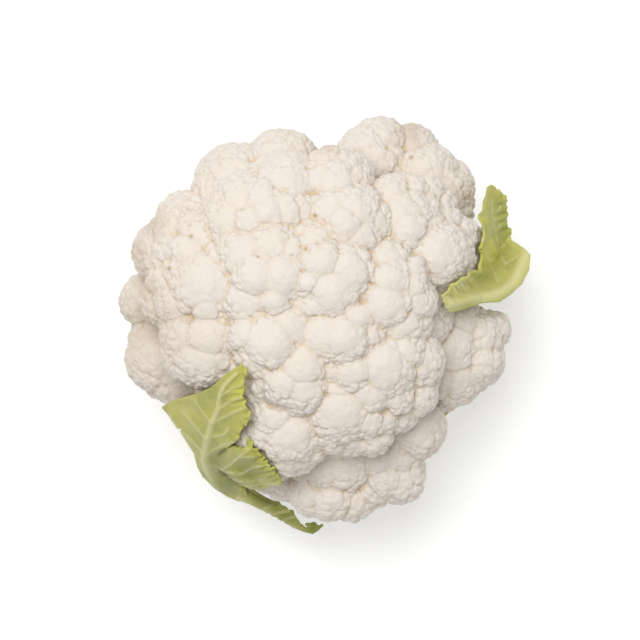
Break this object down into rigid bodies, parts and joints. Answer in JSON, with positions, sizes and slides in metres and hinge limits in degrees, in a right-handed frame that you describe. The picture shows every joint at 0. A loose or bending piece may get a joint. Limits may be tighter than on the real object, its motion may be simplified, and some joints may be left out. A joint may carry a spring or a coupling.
{
  "type": "cauliflower",
  "caption": "Whole trimmed cauliflower: a white curd of domed florets on a branching stalk, with leaves lying against it and cut leaf bases beneath.",
  "frame": {"origin": "middle of the stalk's flat cut face, which the head stands on", "axes": "+Z up through the middle of the curd; +X right and +Y up as the picture, taken from above, shows the head"},
  "size_m": [0.166, 0.1682, 0.1163],
  "materials": {
    "curd": "matte creamy white, fine grained, tan in the creases",
    "stalk": "matte pale green, white at the cut face",
    "leaf": "satin yellow-green with pale veins",
    "leaf_base": "satin pale green, ribbed along its length"
  },
  "bodies": {
    "root": {"curd": "curd", "stalk": "stalk", "leaf_left": "leaf", "leaf_right": "leaf", "leaf_base_1": "leaf_base", "leaf_base_2": "leaf_base", "leaf_base_3": "leaf_base", "leaf_base_4": "leaf_base", "leaf_base_5": "leaf_base"}
  },
  "joints": []
}
